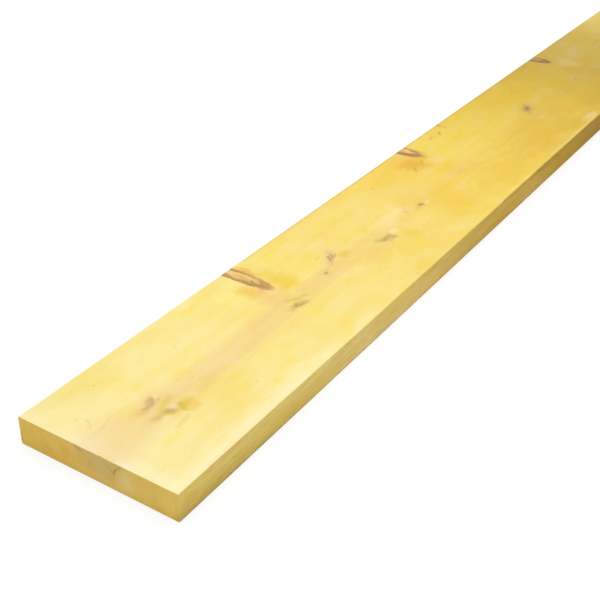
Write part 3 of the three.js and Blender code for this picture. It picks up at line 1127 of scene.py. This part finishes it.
def body_tree():
    """The plank's body: a closed grid whose four long arrises are rounded and worn."""
    tree, have, end = new_group(
        "plank_body",
        "GeometryNodeTree",
        {
            "Geometry": "geometry",
            "Length": "number",
            "Width": "number",
            "Thickness": "number",
            "Arris Radius": "number",
            "Wear": "number",
            "Nicks": "number",
            "Wood": "material",
        },
        {"Geometry": "geometry"},
    )
    cube = tree.nodes.new("GeometryNodeMeshCube")
    cube.inputs["Size"].default_value = (2, 2, 2)
    counts = {"Vertices X": GRID_ALONG, "Vertices Y": GRID_ACROSS, "Vertices Z": GRID_HEIGHT}
    for label, count in counts.items():
        cube.inputs[label].default_value = count + 1
    position = tree.nodes.new("GeometryNodeInputPosition")
    grid_x, grid_y, grid_z = Field(tree, position.outputs[0]).parts()

    radius = have["Arris Radius"]
    half_width = have["Width"] / 2
    half_thickness = have["Thickness"] / 2
    x = grid_x * (have["Length"] / 2)
    y = grid_place(grid_y, half_width, radius, GRID_ACROSS)
    z = grid_place(grid_z, half_thickness, radius, GRID_HEIGHT)

    # What reaches past the flats, in width and in height, is bent round the arris.
    flat_y = y.at_most(half_width - radius).at_least((half_width - radius) * -1)
    flat_z = z.at_most(half_thickness - radius).at_least((half_thickness - radius) * -1)
    past_y = y - flat_y
    past_z = z - flat_z
    past = (past_y * past_y + past_z * past_z + NEVER_ZERO).math("SQRT")
    reach = past_y.math("ABSOLUTE").at_least(past_z.math("ABSOLUTE"))
    on_arris = past_y.math("ABSOLUTE").at_most(past_z.math("ABSOLUTE")) / radius
    spot = vector_of(tree, x, y, z)
    wear = noise(tree, spot, WEAR_FINENESS, 3.0) * have["Wear"]
    nick = noise(tree, spot, NICK_FINENESS, 1.0).ramp(*NICK_EDGE) * have["Nicks"]
    kept = reach / past * (1 - (wear + nick) / radius * on_arris.ramp(*WEAR_START))
    worn_y = flat_y + past_y * kept
    worn_z = flat_z + past_z * kept

    shape = tree.nodes.new("GeometryNodeSetPosition")
    feed(shape.inputs["Geometry"], Field(tree, cube.outputs["Mesh"]))
    feed(shape.inputs["Position"], vector_of(tree, x, worn_y, worn_z + half_thickness))
    real = tree.nodes.new("GeometryNodeRealizeInstances")
    feed(real.inputs[0], Field(tree, shape.outputs[0]))
    wood = tree.nodes.new("GeometryNodeSetMaterial")
    feed(wood.inputs["Geometry"], Field(tree, real.outputs[0]))
    feed(wood.inputs["Material"], have["Wood"])
    feed(end.inputs["Geometry"], Field(tree, wood.outputs[0]))
    return tree


def set_inputs(modifier, values):
    """Sets a Geometry Nodes modifier's inputs, given as {label: value}, by the sockets' identifiers."""
    for item in modifier.node_group.interface.items_tree:
        if item.item_type == "SOCKET" and item.in_out == "INPUT" and item.name in values:
            modifier[item.identifier] = values[item.name]


# The drying check in the near end: its arms run from beside the pith outwards, in (across, height).
CHECK_ARMS = [
    [(138, 21.5), (136.0, 24.6), (132.4, 27.6), (128, 31.2)],
    [(138, 21.5), (138.8, 26.4), (141.4, 31.2), (146, 35.6)],
    [(138, 21.5), (138.4, 19.0), (139.6, 15.8)],
]
CHECK_WIDTH = 0.65
CHECK_DEPTH = 16.0
CHECK_TIP_WIDTH = 0.06  # what is left of its width and of its depth at each arm's tip
CHECK_TIP_DEPTH = 0.1
CUTTER_START = -4.0  # it is cut from outside the end, where the cutter is wider
CUTTER_FLARE = 1.5

# Small dents in the arrises: where each is and how far it reaches along, across and in height.
Dent = namedtuple("Dent", "middle reach")

DENTS = [
    Dent((16, 0.2, 38), (3.0, 1.1, 0.9)),
    Dent((69, 0.2, 38), (3.6, 1.2, 1.0)),
    Dent((236, 225, 38), (3.2, 0.9, 0.8)),
    Dent((0, 121.5, 38), (0.8, 1.7, 1.5)),
    Dent((2400, 64, 38), (1.0, 2.2, 1.2)),
    Dent((1712, 225, 0), (4.2, 1.2, 1.0)),
    Dent((2051, 0, 0), (3.6, 1.1, 1.1)),
]


def check_wedge(arm, first):
    """One arm of the check as a closed wedge, widest and deepest at its hub.

    Returns its corners, three for each point of the arm, and its faces, which count corners from first.
    """
    points = [Vector(p) for p in arm]
    corners = []
    faces = []
    for i, point in enumerate(points):
        before = points[max(i - 1, 0)]
        after = points[min(i + 1, len(points) - 1)]
        way = (after - before).normalized()
        side = Vector((-way.y, way.x))
        left = 1 - i / (len(points) - 1)
        half = CHECK_WIDTH / 2 * (CHECK_TIP_WIDTH + (1 - CHECK_TIP_WIDTH) * left)
        deep = CHECK_DEPTH * (CHECK_TIP_DEPTH + (1 - CHECK_TIP_DEPTH) * left)
        mouth = half * CUTTER_FLARE
        for offset, inward in ((mouth, CUTTER_START), (-mouth, CUTTER_START), (0.0, deep)):
            spot = point + side * offset
            corners.append(place(inward, spot.x, spot.y))
    for i in range(len(points) - 1):
        this = first + 3 * i
        following = this + 3
        for j in range(3):
            k = (j + 1) % 3
            faces.append((this + j, this + k, following + k, following + j))
    last = first + 3 * (len(points) - 1)
    faces.append((first + 2, first + 1, first))
    faces.append((last, last + 1, last + 2))
    return corners, faces


def make_cutter():
    """What is cut from the body: the arms of the check, and the dents."""
    corners = []
    faces = []
    for arm in CHECK_ARMS:
        arm_corners, arm_faces = check_wedge(arm, len(corners))
        corners += arm_corners
        faces += arm_faces
    mesh = bpy.data.meshes.new("cutter")
    mesh.from_pydata(corners, [], faces)
    work = bmesh.new()
    work.from_mesh(mesh)
    for dent in DENTS:
        size = Matrix.Diagonal((*(Vector(dent.reach) * MM), 1))
        spot = Matrix.Translation(place(*dent.middle)) @ size
        bmesh.ops.create_icosphere(work, subdivisions=2, radius=1, matrix=spot)
    bmesh.ops.recalc_face_normals(work, faces=work.faces)
    work.to_mesh(mesh)
    work.free()
    return bpy.data.objects.new("cutter", mesh)


# The rows of the texture map, in pixels from its lower edge up. Each long face is laid in two halves, one
# above the other, so that it is as sharp along the plank as across it. The two ends share the last row.
MAP_PIXELS = 1024
MAP_GAP = 4
FACE_ROW = 192
EDGE_ROW = 33
END_ROW = 80


def lay_out_uv(mesh):
    """Unrolls the plank for its textures.

    Returns each polygon's finish: 0 for a face, 1 for an edge, 2 for an end.
    """
    counts = np.empty(len(mesh.polygons), np.int32)
    mesh.polygons.foreach_get("loop_total", counts)
    corner_vertex = np.empty(len(mesh.loops), np.int32)
    mesh.loops.foreach_get("vertex_index", corner_vertex)
    points = np.empty(len(mesh.vertices) * 3, np.float32)
    mesh.vertices.foreach_get("co", points)
    points = points.reshape(-1, 3)[corner_vertex] / MM
    normals = np.empty(len(mesh.polygons) * 3, np.float32)
    mesh.polygons.foreach_get("normal", normals)
    normals = normals.reshape(-1, 3)
    middles = np.empty(len(mesh.polygons) * 3, np.float32)
    mesh.polygons.foreach_get("center", middles)
    far = middles.reshape(-1, 3)[:, 0] > 0

    size = np.abs(normals)
    end = (size[:, 0] > size[:, 1]) & (size[:, 0] > size[:, 2])
    edge = ~end & (size[:, 1] > size[:, 2])
    face = ~end & ~edge
    along = points[:, 0] / LENGTH + 0.5
    across = points[:, 1] / WIDTH + 0.5
    height = points[:, 2] / THICKNESS
    uv = np.zeros((len(points), 2))
    row_start = 0

    def lay(polygons, u, v, left, right, row):
        """Puts these polygons in a row, with a gap all round."""
        corners = np.repeat(polygons, counts)
        gap = MAP_GAP / 2 / MAP_PIXELS
        uv[corners, 0] = (left + gap) + (right - left - 2 * gap) * u[corners]
        uv[corners, 1] = (row_start + MAP_GAP / 2 + row * v[corners]) / MAP_PIXELS

    for kind, side, v, row in (
        (face, normals[:, 2] > 0, across, FACE_ROW),
        (face, normals[:, 2] < 0, across, FACE_ROW),
        (edge, normals[:, 1] > 0, height, EDGE_ROW),
        (edge, normals[:, 1] < 0, height, EDGE_ROW),
    ):
        lay(kind & side & ~far, along * 2, v, 0, 1, row)
        row_start += row + MAP_GAP
        lay(kind & side & far, along * 2 - 1, v, 0, 1, row)
        row_start += row + MAP_GAP
    lay(end & ~far, across, height, 0, 0.5, END_ROW)
    lay(end & far, across, height, 0.5, 1, END_ROW)

    layer = mesh.uv_layers.new(name="OFBake")
    layer.uv.foreach_set("vector", uv.astype(np.float32).ravel())
    return np.where(end, 2, np.where(edge, 1, 0))


def make_plank():
    figure = figure_group()
    finishes = [wood_material(name, figure) for name in WOOD_FINISHES]
    holder = bpy.data.objects.new("plank_form", bpy.data.meshes.new("plank_form"))
    bpy.context.scene.collection.objects.link(holder)
    body = holder.modifiers.new("body", "NODES")
    body.node_group = body_tree()
    set_inputs(
        body,
        {
            "Length": LENGTH * MM,
            "Width": WIDTH * MM,
            "Thickness": THICKNESS * MM,
            "Arris Radius": ARRIS_RADIUS * MM,
            "Wear": WEAR_DEPTH * MM,
            "Nicks": NICK_DEPTH * MM,
            "Wood": finishes[0],
        },
    )
    cutter = make_cutter()
    bpy.context.scene.collection.objects.link(cutter)
    cut = holder.modifiers.new("check", "BOOLEAN")
    cut.operation = "DIFFERENCE"
    cut.solver = "EXACT"
    cut.use_self = True
    cut.object = cutter

    evaluated = holder.evaluated_get(bpy.context.evaluated_depsgraph_get())
    finished = bpy.data.meshes.new_from_object(evaluated)
    bpy.data.objects.remove(holder)
    bpy.data.objects.remove(cutter)
    finished.materials.clear()
    for finish in finishes:
        finished.materials.append(finish)
    finished.polygons.foreach_set("material_index", lay_out_uv(finished).astype(np.int32))
    finished.shade_smooth()
    finished.set_sharp_from_angle(angle=SHARP_ANGLE)
    finished.update()
    plank = bpy.data.objects.new("planed_plank", finished)
    bpy.context.scene.collection.objects.link(plank)
    return plank


# ---------------------------------------------------------------- stage

FLOOR_REACH = 30.0
FLOOR_DROP = 0.0002  # keeps the floor off the plank's underside
FLOOR_COLOUR = (0.9, 0.9, 0.9, 1)
FLOOR_GLOW = 1.09
FLOOR_GLOW_SHARE = 0.72  # how white it looks near the plank, where the rest is its own shading
FLOOR_FADE = (0.7, 1.6)  # it turns plain white between these distances from the middle
FLOOR_FADE_SHAPE = (0.5, 1, 1)  # its shading reaches twice as far along the plank as to its sides
WORLD_LIGHT = 0.52
# The lamps over the plank: the key is over its near half, and a weaker one is beyond its far end.
Lamp = namedtuple("Lamp", "name place size power")

LAMPS = [
    Lamp("key", (350, 112, 1500), 1.5, 15.3),
    Lamp("fill", (2700, 112, 1300), 1.5, 8.0),
]


def seen_directly(tree):
    """1 for what the camera, a reflection or a pane shows, and 0 for light on its way to a surface."""
    path = tree.nodes.new("ShaderNodeLightPath")
    camera = Field(tree, path.outputs["Is Camera Ray"])
    glossy = Field(tree, path.outputs["Is Glossy Ray"])
    passed = Field(tree, path.outputs["Is Transmission Ray"])
    return camera.at_least(glossy).at_least(passed)


def make_world():
    world = bpy.data.worlds.new("studio")
    world.use_nodes = True
    tree = world.node_tree
    sky = tree.nodes["Background"]
    sky.inputs["Color"].default_value = (1, 1, 1, 1)
    feed(sky.inputs["Strength"], seen_directly(tree).ramp(0, 1, WORLD_LIGHT, 1.0, smooth=False))
    bpy.context.scene.world = world


def make_floor():
    mesh = bpy.data.meshes.new("floor")
    corners = [(x * FLOOR_REACH, y * FLOOR_REACH, 0) for x, y in ((-1, -1), (1, -1), (1, 1), (-1, 1))]
    mesh.from_pydata(corners, [], [(0, 1, 2, 3)])
    floor = bpy.data.objects.new("floor", mesh)
    floor.location.z = -FLOOR_DROP
    material = bpy.data.materials.new("pale_floor")
    material.use_nodes = True
    tree = material.node_tree
    tree.nodes.remove(tree.nodes["Principled BSDF"])
    matt = tree.nodes.new("ShaderNodeBsdfDiffuse")
    matt.inputs["Color"].default_value = FLOOR_COLOUR
    glow = tree.nodes.new("ShaderNodeEmission")
    glow.inputs["Strength"].default_value = FLOOR_GLOW
    mix = tree.nodes.new("ShaderNodeMixShader")
    coordinates = tree.nodes.new("ShaderNodeTexCoord")
    at = Field(tree, coordinates.outputs["Object"])
    away = at.vector("MULTIPLY", FLOOR_FADE_SHAPE).vector("LENGTH")
    feed(mix.inputs[0], seen_directly(tree) * away.ramp(*FLOOR_FADE, FLOOR_GLOW_SHARE, 1.0))
    feed(mix.inputs[1], Field(tree, matt.outputs[0]))
    feed(mix.inputs[2], Field(tree, glow.outputs[0]))
    feed(tree.nodes["Material Output"].inputs["Surface"], Field(tree, mix.outputs[0]))
    mesh.materials.append(material)
    bpy.context.scene.collection.objects.link(floor)


def make_lamp(lamp):
    data = bpy.data.lights.new(lamp.name, "AREA")
    data.energy = lamp.power
    data.size = lamp.size
    light = bpy.data.objects.new(lamp.name, data)
    light.location = place(*lamp.place)
    bpy.context.scene.collection.objects.link(light)


# ---------------------------------------------------------------- the scene

bpy.context.scene.view_settings.view_transform = "Standard"
make_camera()
make_world()
make_floor()
for lamp in LAMPS:
    make_lamp(lamp)

plank = make_plank()
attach(plank, "root")
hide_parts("plank")
